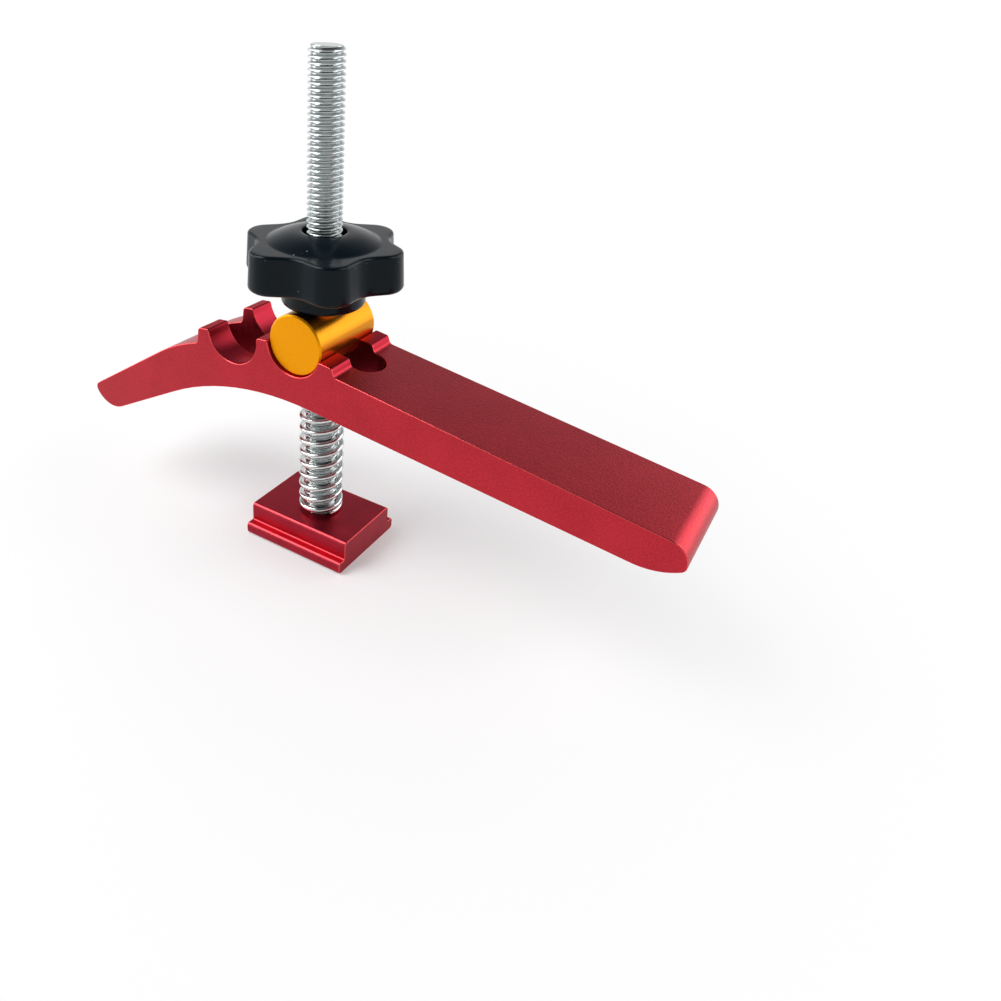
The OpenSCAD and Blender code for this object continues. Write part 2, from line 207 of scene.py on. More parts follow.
class Finish:
    """A material in the making, or the world."""

    def __init__(self, owner):
        owner.use_nodes = True
        self.owner = owner
        self.tree = owner.node_tree
        self.tree.nodes.clear()

    @classmethod
    def named(cls, name):
        """The finish of a new material."""
        return cls(bpy.data.materials.new(name))

    def node(self, kind, settings=None, values=None, output=0):
        """A node of a kind: its settings first, then the values or wires of its sockets.

        It gives the wire of one output, or a list of wires where the outputs are a tuple.
        """
        made = self.tree.nodes.new(kind)
        for key, value in (settings or {}).items():
            setattr(made, key, value)
        for key, value in (values or {}).items():
            if isinstance(value, Wire):
                self.tree.links.new(value.socket, made.inputs[key])
            else:
                made.inputs[key].default_value = value
        if isinstance(output, tuple):
            return [Wire(self, made.outputs[one]) for one in output]
        return Wire(self, made.outputs[output]) if made.outputs else None

    def at(self):
        """Object coordinates."""
        return self.node("ShaderNodeTexCoord", output="Object")

    def stretched(self, scale):
        """Object coordinates, scaled along each axis."""
        return self.node("ShaderNodeMapping", {"vector_type": "POINT"},
                         {"Vector": self.at(), "Scale": scale})

    def split(self, vector):
        """A vector's x, y and z."""
        return self.node("ShaderNodeSeparateXYZ", {}, {"Vector": vector}, ("X", "Y", "Z"))

    def rays(self):
        """Three wires, 1 or 0: whether a ray is the camera's, a reflection's or a transmission's."""
        return self.node("ShaderNodeLightPath", output=(
            "Is Camera Ray", "Is Glossy Ray", "Is Transmission Ray"))

    def noise(self, scale, detail=2.0, rough=0.5, where=None):
        """Noise of a scale in features per metre."""
        return self.node("ShaderNodeTexNoise", {}, {
            "Vector": where or self.at(), "Scale": scale, "Detail": detail, "Roughness": rough})

    def blend(self, share, first, second):
        """One colour passing into another."""
        return self.node("ShaderNodeMix", {"data_type": "RGBA"}, {
            "Factor": share, 6: solid(first), 7: solid(second)}, output=2)

    def shades(self, share, base, dark, light):
        """A colour passing from a darker to a lighter shade of itself, each a multiple of it."""
        return self.blend(share, scaled(base, dark), scaled(base, light))

    def bump(self, height, depth):
        """A bump whose full height is a depth in metres."""
        return self.node("ShaderNodeBump", {}, {
            "Height": height, "Strength": 1.0, "Distance": depth})

    def surface(self, values):
        """The Principled shader, joined to the output."""
        shader = self.node("ShaderNodeBsdfPrincipled", {}, values)
        self.node("ShaderNodeOutputMaterial", {}, {"Surface": shader})
        return self.owner


def solid(value):
    """A colour with alpha for a colour socket, or the wire as it is."""
    return value if isinstance(value, Wire) else (*value[:3], 1.0)


def scaled(value, by):
    """A colour made lighter or darker."""
    return tuple(min(1.0, part * by) for part in value[:3])


def blasted_red(name, base):
    """Bead-blasted anodising: fine pits in the bump and a faint mottle in colour and roughness."""
    f = Finish.named(name)
    grain = f.noise(2600, detail=3.0, rough=0.65)
    cloud = f.noise(90)
    pits = f.noise(1700, detail=1.0)
    tone = (grain - 0.5) * 1.5 + (cloud - 0.5) * 0.5 + 0.5
    return f.surface({
        "Base Color": f.shades(tone.ramp(0.1, 0.9), base, 0.80, 1.16),
        "Metallic": 1.0,
        "Roughness": 0.39 + (grain - 0.5) * 0.22 + (cloud - 0.5) * 0.06,
        "Normal": f.bump(pits * 0.5 + grain * 0.5, 0.065 * MM),
    })


def machined_red(name, base, rough):
    """Cut and anodised faces: smoother, with faint tool lines across the arm."""
    f = Finish.named(name)
    lines = f.noise(900, detail=3.0, rough=0.6, where=f.stretched((1, 0.06, 1)))
    grain = f.noise(2600)
    return f.surface({
        "Base Color": f.shades(lines.ramp(0.3, 0.7), base, 0.9, 1.08),
        "Metallic": 1.0,
        "Roughness": rough + (lines - 0.5) * 0.14 + (grain - 0.5) * 0.08,
        "Normal": f.bump(lines * 0.6 + grain * 0.4, 0.012 * MM),
        # Reflections at a flat angle stay red too
        "Specular Tint": solid((0.95, 0.60, 0.60)),
    })


def drawn_red(name, base):
    """Extruded anodising on the nut: lines along the track and a saw-cut mottle."""
    f = Finish.named(name)
    lines = f.noise(1500, detail=3.0, rough=0.6, where=f.stretched((0.02, 1, 1)))
    grain = f.noise(2400, rough=0.6)
    cloud = f.noise(160)
    return f.surface({
        "Base Color": f.shades(((lines + cloud) * 0.5).ramp(0.3, 0.7), base, 0.85, 1.12),
        "Metallic": 1.0,
        "Roughness": 0.36 + (lines - 0.5) * 0.10 + (grain - 0.5) * 0.12,
        "Normal": f.bump(lines * 0.4 + grain * 0.6, 0.014 * MM),
    })


def turned_gold(name, base):
    """Gold anodising with lengthwise lines from the drawn bar."""
    f = Finish.named(name)
    lines = f.noise(1300, detail=3.0, rough=0.6, where=f.stretched((1, 0.03, 1)))
    grain = f.noise(2200)
    return f.surface({
        "Base Color": f.shades(lines.ramp(0.3, 0.7), base, 0.92, 1.05),
        "Metallic": 1.0,
        "Roughness": 0.32 + (lines - 0.5) * 0.22 + (grain - 0.5) * 0.05,
        "Normal": f.bump(lines * 0.9 + grain * 0.1, 0.03 * MM),
    })


def faced_gold(name, base, axis_height):
    """The barrel's end faces: fine rings from the lathe round the barrel's axis, matt."""
    f = Finish.named(name)
    x, _, z = f.split(f.at())
    z = z - axis_height
    reach = (x * x + z * z) ** 0.5
    # In radians per metre, which puts the rings 0.15 mm apart
    ring_waves = 42000.0
    grain = f.noise(2400)
    return f.surface({
        "Base Color": f.shades(grain.ramp(0.3, 0.7), base, 0.95, 1.04),
        "Metallic": 1.0,
        "Roughness": 0.46 + (grain - 0.5) * 0.08,
        "Normal": f.bump((reach * ring_waves).sine() * 0.5 + grain, 0.004 * MM),
    })


def plated(name, base, root_r, crest_r):
    """Bright plating on a thread, slightly uneven, with painted shade down in the thread's root.

    How bright a point is painted goes by its distance from the axis, from painted shade at the root
    to none at the crest.
    """
    f = Finish.named(name)
    x, y, _ = f.split(f.at())
    height = ((x * x + y * y) ** 0.5).ramp(root_r, crest_r)
    cloud = f.noise(700, detail=3.0, rough=0.6)
    grain = f.noise(3600)
    # Painted shade: the colour darkens towards the thread's root, with an uneven cloud besides
    tone = height * 0.75 + cloud.ramp(0.3, 0.75) * 0.25
    return f.surface({
        "Base Color": f.shades(tone, base, 0.60, 1.04),
        "Metallic": 1.0,
        "Roughness": 0.17 + (cloud - 0.5) * 0.12 + (grain - 0.5) * 0.06,
        "Normal": f.bump(cloud * 0.8 + grain * 0.2, 0.04 * MM),
    })


def drawn_wire(name, base):
    """Bright drawn spring wire."""
    f = Finish.named(name)
    cloud = f.noise(900, detail=3.0, rough=0.6)
    return f.surface({
        "Base Color": f.shades(cloud.ramp(0.3, 0.75), base, 0.88, 1.12),
        "Metallic": 1.0,
        "Roughness": 0.17 + (cloud - 0.5) * 0.12,
        "Normal": f.bump(cloud, 0.004 * MM),
    })


def moulded_black(name, base, dust):
    """Semi-gloss moulded plastic: slow waves from the mould, a fine grain and a little dust."""
    f = Finish.named(name)
    cloud = f.noise(110)
    grain = f.noise(2600)
    specks = f.noise(1100, detail=0.0).ramp(0.86, 0.88)
    return f.surface({
        "Base Color": f.blend(specks, base, dust),
        "Roughness": 0.20 + (cloud - 0.5) * 0.10 + (grain - 0.5) * 0.06,
        "Normal": f.bump(cloud * 0.9 + grain * 0.02, 0.06 * MM),
        "Specular IOR Level": 0.13,
    })


def turned_brass(name, base):
    """Plain turned brass."""
    f = Finish.named(name)
    grain = f.noise(1800)
    return f.surface({
        "Base Color": f.shades(grain.ramp(0.3, 0.7), base, 0.9, 1.05),
        "Metallic": 1.0,
        "Roughness": 0.3 + (grain - 0.5) * 0.1,
    })


# Meshes

def grid_faces(rows, columns, close_rows, close_columns):
    """Quads between neighbouring points of a grid of rows and columns."""
    r = np.arange(rows if close_rows else rows - 1)
    c = np.arange(columns if close_columns else columns - 1)
    r, c = np.meshgrid(r, c, indexing="ij")
    r2, c2 = (r + 1) % rows, (c + 1) % columns
    corners = [r * columns + c, r * columns + c2, r2 * columns + c2, r2 * columns + c]
    return np.stack(corners, -1).reshape(-1, 4)


def made_mesh(name, points, faces, caps=()):
    """An object from an array of points and an array of quads, with further faces as caps.

    Doubles are merged, which also closes what was gathered to one point, and the faces are
    turned outwards.
    """
    mesh = bpy.data.meshes.new(name)
    mesh.from_pydata(np.asarray(points).reshape(-1, 3).tolist(), [],
                     np.asarray(faces).tolist() + np.asarray(caps).tolist())
    work = bmesh.new()
    work.from_mesh(mesh)
    bmesh.ops.remove_doubles(work, verts=work.verts, dist=2e-7)
    bmesh.ops.dissolve_degenerate(work, edges=work.edges, dist=1e-8)
    bmesh.ops.recalc_face_normals(work, faces=work.faces)
    work.to_mesh(mesh)
    work.free()
    return linked(name, mesh)


def linked(name, data):
    """A new object with its data, in the scene."""
    made = bpy.data.objects.new(name, data)
    bpy.context.scene.collection.objects.link(made)
    return made


def capped_tube(name, points, ends, closed):
    """A tube from a grid of points, whose first and last rows are gathered to two end points."""
    rows, columns = points.shape[:2]
    column = np.arange(columns if closed else columns - 1)
    after = (column + 1) % columns
    last = (rows - 1) * columns
    foot = np.stack([after, column, np.full_like(column, rows * columns)], -1)
    head = np.stack([last + column, last + after, np.full_like(column, rows * columns + 1)], -1)
    every = np.concatenate([points.reshape(-1, 3), ends])
    return made_mesh(name, every, grid_faces(rows, columns, False, closed),
                     np.concatenate([foot, head]))


def smoothed(piece, angle):
    """Smooth shading, kept sharp where faces meet at more than an angle in degrees."""
    piece.data.shade_smooth()
    piece.data.set_sharp_from_angle(angle=math.radians(angle))
    return piece


def settled(piece):
    """The piece with its modifiers worked into its mesh."""
    graph = bpy.context.evaluated_depsgraph_get()
    graph.update()
    mesh = bpy.data.meshes.new_from_object(piece.evaluated_get(graph))
    piece.modifiers.clear()
    old, piece.data = piece.data, mesh
    bpy.data.meshes.remove(old)
    mesh.name = piece.name
    return piece


def bevelled_copy(node, name, edge, finishes):
    """A copy of a CAD node with its triangles merged to whole faces and its edges chamfered.

    The second finish goes to the chamfers.
    """
    work = bmesh.new()
    work.from_mesh(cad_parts[node].data)
    bmesh.ops.remove_doubles(work, verts=work.verts, dist=1e-6)
    bmesh.ops.dissolve_limit(work, angle_limit=math.radians(0.4), verts=work.verts,
                             edges=work.edges, delimit={"NORMAL"})
    mesh = bpy.data.meshes.new(name)
    work.to_mesh(mesh)
    work.free()
    piece = linked(name, mesh)
    mesh.shade_smooth()
    for finish in finishes:
        mesh.materials.append(finish)
    bevel = piece.modifiers.new("Chamfer", "BEVEL")
    bevel.width = edge
    bevel.segments = 2
    bevel.limit_method = "ANGLE"
    bevel.angle_limit = math.radians(38)
    bevel.use_clamp_overlap = False
    bevel.miter_outer = "MITER_ARC"
    bevel.material = 1
    weigh = piece.modifiers.new("Flat faces", "WEIGHTED_NORMAL")
    weigh.weight = 50
    return piece


def of_faces(piece, what):
    """The x, y and z of each face's normal or center, as the rows of an array."""
    values = np.empty(len(piece.data.polygons) * 3)
    piece.data.polygons.foreach_get(what, values)
    return values.reshape(-1, 3).T


def share_out(piece, kinds):
    """Gives each face the number of its finish."""
    piece.data.polygons.foreach_set("material_index", kinds.astype(np.int32))


def dress(piece, body, slot, *finishes):
    """Gives a piece its finishes and its body; the slot it is given is not used. Its faces keep
    their numbers.
    """
    kinds = np.empty(len(piece.data.polygons), np.int32)
    piece.data.polygons.foreach_get("material_index", kinds)
    piece.data.materials.clear()
    for finish in finishes:
        piece.data.materials.append(finish)
    share_out(piece, kinds)
    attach(piece, body)


def turned(name, outline, sides, closed=True):
    """A body of revolution about Z, from an outline of points (radius, height).

    Each point goes round in a circle. The last circle joins the first if the outline is closed.
    """
    outline = np.asarray(outline, float)
    a = np.linspace(0, 2 * np.pi, sides, endpoint=False)
    points = np.stack([outline[:, None, 0] * np.cos(a), outline[:, None, 0] * np.sin(a),
                       np.broadcast_to(outline[:, None, 1], (len(outline), sides))], -1)
    return made_mesh(name, points, grid_faces(len(outline), sides, closed, True))


def arc(centre, radius, start, stop, count=6):
    """A number of points at equal steps on an arc, from one angle in degrees to another."""
    a = np.radians(np.linspace(start, stop, count))
    return np.stack([centre[0] + radius * np.cos(a), centre[1] + radius * np.sin(a)], -1)


def above_zero(value, soft):
    """The value where it is above 0 and nearly 0 elsewhere: half of it and its soft magnitude."""
    return 0.5 * (value + np.sqrt(value * value + soft * soft))


def thread_depth(phase):
    """Depth of the thread below its crest as a share of the pitch, for a phase from 0 to 1.

    The crest is nearly flat for about an eighth of the pitch, the flanks stand 60 degrees apart,
    and the root is a round trough: the phase's distance from the crest's middle less the crest's
    half width, times the flank's slope, softly limited at 0 and at the root.
    """
    crest_half, root = 0.068, 0.56
    away = np.abs((phase + 0.5) % 1.0 - 0.5)
    flank = (away - crest_half) * math.tan(math.radians(60))
    return root - above_zero(root - above_zero(flank, soft=0.02), soft=0.055)


def threaded_rod(name, low, high, radius, pitch, chamfer):
    """A rod with a right-handed thread.

    The rows follow the helix: a row's height is its phase plus the turn's share of the pitch,
    limited to the rod's ends. The radius there is the crest's radius less the thread's depth, and
    not more than the end's cone leaves.
    """
    turns = math.ceil((high - low) / pitch) + 2
    rows = (np.arange(-1, turns)[:, None] + THREAD_PHASES).ravel()
    # The last column is the first again, a pitch further up, so that the helix runs on
    share = np.arange(ROD_SIDES + 1) / ROD_SIDES
    z = np.clip(low + (rows[:, None] + share) * pitch, low, high)
    r = radius - thread_depth((z - low) / pitch - share) * pitch
    r = np.minimum(r, radius - chamfer + np.minimum(z - low, high - z))
    a = 2 * np.pi * share
    points = np.stack([r * np.cos(a), r * np.sin(a), z], -1)
    return capped_tube(name, points, [[0, 0, low], [0, 0, high]], closed=False)


def coil(name, low, high, outer, wire, closed_turn, open_turn, start):
    """A compression spring with closed ends.

    The wire's middle goes round at the mean radius while its height rises by the closed turn's
    rise in the first and last turn and evenly between them, in the number of half turns that
    comes nearest to the open turn's rise. The change is eased over a sixth of a turn. A circle is
    carried along that path, square to it, and each end is closed flat.
    """
    mean = outer - wire
    rise = high - low - 2 * wire - 2 * closed_turn
    open_turns = max(1, round(2 * rise / open_turn) / 2)
    turns = open_turns + 2
    ease = 1 / 12
    fine = np.linspace(0, turns, 4000)

    def passed(at):
        """0 before a turn and 1 after it, with an even rise between."""
        return np.clip((fine - at + ease) / (2 * ease), 0, 1)

    opened = passed(1) - passed(1 + open_turns)
    slope = closed_turn + (rise / open_turns - closed_turn) * opened
    height = np.concatenate([[0], np.cumsum((slope[1:] + slope[:-1]) / 2 * np.diff(fine))])
    height *= (high - low - 2 * wire) / height[-1]
    t = np.linspace(0, turns, int(turns * WIRE_STEPS) + 1)
    z = low + wire + np.interp(t, fine, height)
    a = start + 2 * np.pi * t
    path = np.stack([mean * np.cos(a), mean * np.sin(a), z], -1)
    along = np.gradient(path, axis=0)
    along /= np.linalg.norm(along, axis=1)[:, None]
    out = np.stack([np.cos(a), np.sin(a), np.zeros_like(a)], -1)
    up = np.cross(along, out)
    up *= np.sign(up[:, 2:3])
    k = 2 * np.pi * np.arange(WIRE_SIDES) / WIRE_SIDES
    ring = np.cos(k)[:, None] * out[:, None] + np.sin(k)[:, None] * up[:, None]
    return capped_tube(name, path[:, None] + wire * ring, path[[0, -1]], closed=True)


def rounded_plan(corners, step=4.0):
    """A closed outline through corners (x, y, radius), each rounded by its own radius.

    Where two arcs would not both fit on the side between them the larger gives way, down to half
    the side. Each arc is centre + radius * (cos, sin) over the angle between its two sides, with
    a point for each step in degrees.
    """
    corners = np.asarray(corners, float)
    at = corners[:, :2]
    side = np.roll(at, -1, 0) - at
    reach = np.linalg.norm(side, axis=1)
    ahead = side / reach[:, None]
    back = -np.roll(ahead, 1, 0)
    half = np.arccos(np.clip((ahead * back).sum(1), -1, 1)) / 2
    want = corners[:, 2] / np.tan(half)
    room = 0.999 * reach
    ahead_room = np.maximum(room / 2, room - np.roll(want, -1))
    back_room = np.roll(np.maximum(room / 2, room - want), 1)
    run = np.minimum(want, np.minimum(ahead_room, back_room))
    arcs = []
    for c, u, v, h, d in zip(at, back, ahead, half, run):
        r = d * math.tan(h)
        middle = (u + v) / np.linalg.norm(u + v)
        centre = c + middle * r / math.sin(h)
        start, stop = c + u * d - centre, c + v * d - centre
        first = math.atan2(start[1], start[0])
        sweep = math.atan2(start[0] * stop[1] - start[1] * stop[0], float(start @ stop))
        a = first + sweep * np.linspace(0, 1, max(2, int(abs(math.degrees(sweep)) / step) + 1))
        arcs.append(centre + r * np.stack([np.cos(a), np.sin(a)], -1))
    return np.concatenate(arcs)


def evenly(outline, count):
    """The closed outline again, as a number of points at equal steps along it."""
    loop = np.concatenate([outline, outline[:1]])
    run = np.concatenate([[0], np.cumsum(np.linalg.norm(np.diff(loop, axis=0), axis=1))])
    at = np.linspace(0, run[-1], count, endpoint=False)
    return np.stack([np.interp(at, run, loop[:, 0]), np.interp(at, run, loop[:, 1])], -1)


# Pieces

class CLAMP_OT_nut(bpy.types.Operator):
    """Chamfers the slot nut and gives it its drawn and anodised finish"""
    bl_idname = "clamp.nut"
    bl_label = "Slot nut"

    def execute(self, context):
        sizes, colours = context.scene.clamp_sizes, context.scene.clamp_colours
        finishes = (drawn_red("Nut anodised red", colours.nut),
                    # The chamfers' red is painted paler as a highlight
                    machined_red("Nut edge red highlight", colours.edge, 0.24),
                    machined_red("Nut corner red highlight", colours.corner, 0.30))
        piece = bevelled_copy("slot_nut", "nut_finished", sizes.nut_edge, finishes)
        # The drawn profile's rounded corners are smoother than its flat faces, which look straight
        # along an axis; their paler red is a painted highlight
        flat, corner, straight = 0, 2, 0.97
        rounded = np.abs(of_faces(piece, "normal")).max(0) < straight
        share_out(piece, np.where(rounded, corner, flat))
        dress(settled(piece), "base", "nut_red", *finishes)
        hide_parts("slot_nut")
        return {"FINISHED"}


class CLAMP_OT_stud(bpy.types.Operator):
    """Cuts the stud's thread as one helix with chamfered ends"""
    bl_idname = "clamp.stud"
    bl_label = "Threaded stud"

    def execute(self, context):
        sizes, colours = context.scene.clamp_sizes, context.scene.clamp_colours
        low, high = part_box("stud")
        piece = threaded_rod("stud_threaded", low[2], high[2], sizes.thread_r,
                             sizes.thread_pitch, sizes.thread_chamfer)
        smoothed(piece, 40)
        # Radii between which the painted shade in the thread's root fades out
        root_shade_r, shade_gone_r = 3.25 * MM, 3.85 * MM
        dress(piece, "base", "zinc_steel", plated("Bright zinc", colours.zinc, root_shade_r, shade_gone_r))
        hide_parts("stud")
        return {"FINISHED"}


class CLAMP_OT_spring(bpy.types.Operator):
    """Winds the return spring, which shortens as the clamp closes"""
    bl_idname = "clamp.spring"
    bl_label = "Return spring"

    def execute(self, context):
        sizes, colours = context.scene.clamp_sizes, context.scene.clamp_colours
        low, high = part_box("return_spring")
        piece = coil("spring_wound", low[2], high[2], sizes.spring_r, sizes.wire_r,
                     sizes.closed_turn, sizes.open_turn, sizes.wire_start)
        smoothed(piece, 50)
        dress(piece, "spring", "spring_steel", drawn_wire("Drawn spring wire", colours.wire))
        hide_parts("return_spring")
        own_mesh(piece)
        return {"FINISHED"}


class CLAMP_OT_barrel(bpy.types.Operator):
    """Turns the pivot barrel and drills its cross hole"""
    bl_idname = "clamp.barrel"
    bl_label = "Pivot barrel"

    def execute(self, context):
        sizes, colours = context.scene.clamp_sizes, context.scene.clamp_colours
        low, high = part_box("pivot_barrel")
        half = (high[1] - low[1]) / 2
        r, c = sizes.barrel_r, sizes.barrel_chamfer
        outline = [(0, -half), (r - c, -half), (r, -half + c), (r, half - c), (r - c, half),
                   (0, half)]
        raised = Matrix.Translation((0, 0, sizes.pivot_h))
        piece = turned("barrel_turned", outline, BARREL_SIDES, closed=False)
        piece.data.transform(raised @ Matrix.Rotation(math.pi / 2, 4, "X"))
        bore, reach = sizes.bore_r, 10 * MM
        drill = turned("drill", [(0, -reach), (bore, -reach), (bore, reach), (0, reach)],
                       BORE_SIDES, closed=False)
        drill.data.transform(raised)
        cut = piece.modifiers.new("Cross hole", "BOOLEAN")
        cut.operation = "DIFFERENCE"
        cut.solver = "EXACT"
        cut.object = drill
        settled(piece)
        bpy.data.objects.remove(drill)
        smoothed(piece, 30)
        # The gold round the barrel is the ends' gold painted darker as shade
        dress(piece, "barrel", "barrel_gold", turned_gold("Barrel gold", colours.gold_side_shaded),
              faced_gold("Barrel end gold", colours.gold, sizes.pivot_h))
        # The ends and their chamfers look along the barrel
        lengthwise = 0.6
        share_out(piece, np.abs(of_faces(piece, "normal")[1]) > lengthwise)
        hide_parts("pivot_barrel")
        return {"FINISHED"}


class CLAMP_OT_arm(bpy.types.Operator):
    """Chamfers the arm and parts its blasted faces from the machined notches and edges"""
    bl_idname = "clamp.arm"
    bl_label = "Clamp arm"

    def kinds(self, piece, sizes):
        """The number of each face's finish. The one left out, 1, is for the chamfers.

        A face is a notch's wall if its middle lies at the notch's radius from the notch's axis.
        It is a lip's, which is finished as the notch is, if it looks across or up, beside the
        notches and above the arm's plain top. It is the slot's if it stands upright within the
        slot's width and near the notches. Heights are from the barrel's axis.
        """
        blasted, notch, slot = 0, 2, 3
        wall_slack = 0.12 * MM
        lips_middle, lips_half = -6 * MM, 22 * MM
        slot_middle, slot_reach = -9 * MM, 27 * MM
        # The plain top falls along the long end, and lies lower on the side of the toe
        top_start, top_slope, toe_top = -2.2 * MM, -0.123, -7 * MM
        x, y, z = of_faces(piece, "center")
        z = z - sizes.pivot_h
        _, side, up = of_faces(piece, "normal")
        second = (-sizes.notch_pitch * math.cos(sizes.notch_slope),
                  -sizes.notch_pitch * math.sin(sizes.notch_slope))
        wall = np.zeros(len(x), bool)
        for axis_x, axis_z in ((0.0, 0.0), second):
            wall |= np.abs(np.hypot(x - axis_x, z - axis_z) - sizes.notch_r) < wall_slack
        above = z > np.where(x > 0, top_start + top_slope * x, toe_top)
        beside = np.abs(x - lips_middle) < lips_half
        lips = above & beside & (np.abs(side) < 0.1) & (up > -0.2)
        near = np.abs(x - slot_middle) < slot_reach
        inside = near & (np.abs(up) < 0.2) & (np.abs(y) < sizes.slot_half)
        return np.where(inside, slot, np.where(wall | lips, notch, blasted))

    def execute(self, context):
        sizes, colours = context.scene.clamp_sizes, context.scene.clamp_colours
        finishes = (blasted_red("Arm blasted red", colours.arm),
                    # The chamfers' red is painted paler as a highlight
                    machined_red("Arm edge red highlight", colours.edge, 0.26),
                    machined_red("Arm notch red", colours.notch, 0.36),
                    # Painted shade: the notch's red painted darker on the slot's walls
                    machined_red("Arm slot red shaded", scaled(colours.notch, 0.7), 0.40))
        piece = bevelled_copy("clamp_arm", "arm_finished", sizes.arm_edge, finishes)
        share_out(piece, self.kinds(piece, sizes))
        dress(settled(piece), "arm", "arm_red", *finishes)
        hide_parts("clamp_arm")
        return {"FINISHED"}


class CLAMP_OT_knob(bpy.types.Operator):
    """Moulds the star knob as one closed surface, and sets its threaded insert"""
    bl_idname = "clamp.knob"
    bl_label = "Star knob and insert"

    def star_plan(self, s):
        """Blunt lobes with rounded corners that run into round hollows, at equal steps."""
        lobes = 6
        step = 2 * math.pi / lobes
        half = math.atan2(s.lobe_w / 2, s.lobe_reach)
        reach = s.lobe_reach / math.cos(half)

        def corner(radius, angle, rounding):
            """A corner at a radius and an angle from the knob's axis, with its own radius."""
            return radius * math.cos(angle), radius * math.sin(angle), rounding

        corners = []
        for at in step * np.arange(lobes):
            corners += [corner(reach, at - half, s.lobe_r), corner(reach, at + half, s.lobe_r),
                        corner(s.flank_meet, at + step / 2, s.hollow_r)]
        return evenly(rounded_plan(corners), PLAN_POINTS)

    def moulding(self, s):
        """The knob's surface as a ring of closed outlines, one after another.

        They run from the hub's foot over the star and the dome and down through the mouth to the
        insert's head. Every outline is a circle, the star's plan drawn in along its normals or
        something between two of these, with its points on the same rays or normals.
        """
        plan = self.star_plan(s)
        along = np.roll(plan, -1, 0) - np.roll(plan, 1, 0)
        along /= np.linalg.norm(along, axis=1)[:, None]
        outwards = np.stack([along[:, 1], -along[:, 0]], -1)
        rays = plan / np.linalg.norm(plan, axis=1)[:, None]
        rings = []

        def add(outline, z):
            """One more outline, at a height."""
            rings.append(np.concatenate([outline, np.full((len(outline), 1), z)], 1))

        def add_round(centre, radius, start, stop, count=6):
            """Circles along an arc of the section."""
            for r, z in arc(centre, radius, start, stop, count):
                add(rays * r, z)

        def add_between(first, second, shares, z):
            """Outlines part of the way from one to another, at one height."""
            for share in shares:
                add(first + (second - first) * share, z)

        def drawn_in(d):
            """The plan drawn in along its own normals."""
            return plan - d * outwards

        low, top = s.hub_h, s.hub_h + s.star_h
        low_edge, top_edge = s.star_low_edge, s.star_top_edge
        quarter = np.radians(np.linspace(0, 90, 8))
        # From the insert's seat, a hair wider than the insert, round the hub's lower edge
        seat_r = s.insert_r + 0.01 * MM
        add(rays * seat_r, 0.0)
        add_round((s.hub_r - low_edge, low_edge), low_edge, -90, 0)
        # The hollow between hub and star, and the star's flat underside
        root_r = 0.35 * MM
        add_round((s.hub_r + root_r, low - root_r), root_r, 180, 90, 4)
        add_between(rays * (s.hub_r + root_r), drawn_in(low_edge), (0.33, 0.66), low)
        # The star's wall with its draft, between its two rounded edges
        for a in quarter:
            add(drawn_in(low_edge * (1 - math.sin(a))), low + low_edge * (1 - math.cos(a)))
        wall_low, wall_top = low + low_edge, top - top_edge
        for share in (0.25, 0.5, 0.75):
            add(drawn_in(s.star_draft * share), wall_low + (wall_top - wall_low) * share)
        for a in quarter:
            add(drawn_in(s.star_draft + top_edge * (1 - math.cos(a))),
                wall_top + top_edge * math.sin(a))
        # The flat top as far as the dome, which keeps a little inside the hollows' rims
        upper = drawn_in(s.star_draft + top_edge)
        rim = 0.12 * MM
        dome_r = np.minimum(s.dome_r, np.linalg.norm(upper, axis=1) - rim)
        dome_foot = rays * dome_r[:, None]
        add_between(upper, dome_foot, (0.25, 0.5, 0.75, 0.97), top)
        # The dome: nearly a quarter wave up to its mouth, steep first and level at last
        lip_r = 0.15 * MM
        mouth = rays * (s.mouth_r + lip_r)
        fullness = 0.9
        for share in np.linspace(0, 1, 14):
            add(dome_foot + (mouth - dome_foot) * share,
                top + s.dome_h * math.sin(share * math.pi / 2) ** fullness)
        add_round((s.mouth_r + lip_r, top + s.dome_h - lip_r), lip_r, 135, 180, 3)
        add(rays * s.mouth_r, s.insert_h)
        add(rays * seat_r, s.insert_h)
        points = np.stack(rings)
        c, d = math.cos(s.lobe_turn), math.sin(s.lobe_turn)
        points[..., :2] = points[..., :2] @ np.array([[c, d], [-d, c]])
        return points

    def execute(self, context):
        s, colours = context.scene.clamp_sizes, context.scene.clamp_colours
        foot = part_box("star_knob")[0][2]
        points = self.moulding(s)
        points[..., 2] += foot
        knob = made_mesh("knob_moulded", points, grid_faces(*points.shape[:2], True, True))
        smoothed(knob, 32)
        dress(knob, "knob", "knob_black",
              moulded_black("Moulded black", colours.black, colours.dust))
        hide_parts("star_knob")

        bore, r, head = s.bore_r, s.insert_r, foot + s.insert_h
        lead, edge = 0.3 * MM, 0.2 * MM
        insert = turned("insert_turned", [
            (bore + lead, foot), (r - edge, foot), (r, foot + edge), (r, head),
            (bore + lead, head), (bore, head - lead), (bore, foot + lead)], INSERT_SIDES)
        smoothed(insert, 30)
        dress(insert, "knob", "insert_brass", turned_brass("Turned brass", colours.brass))
        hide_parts("knob_insert")
        return {"FINISHED"}


# Stage

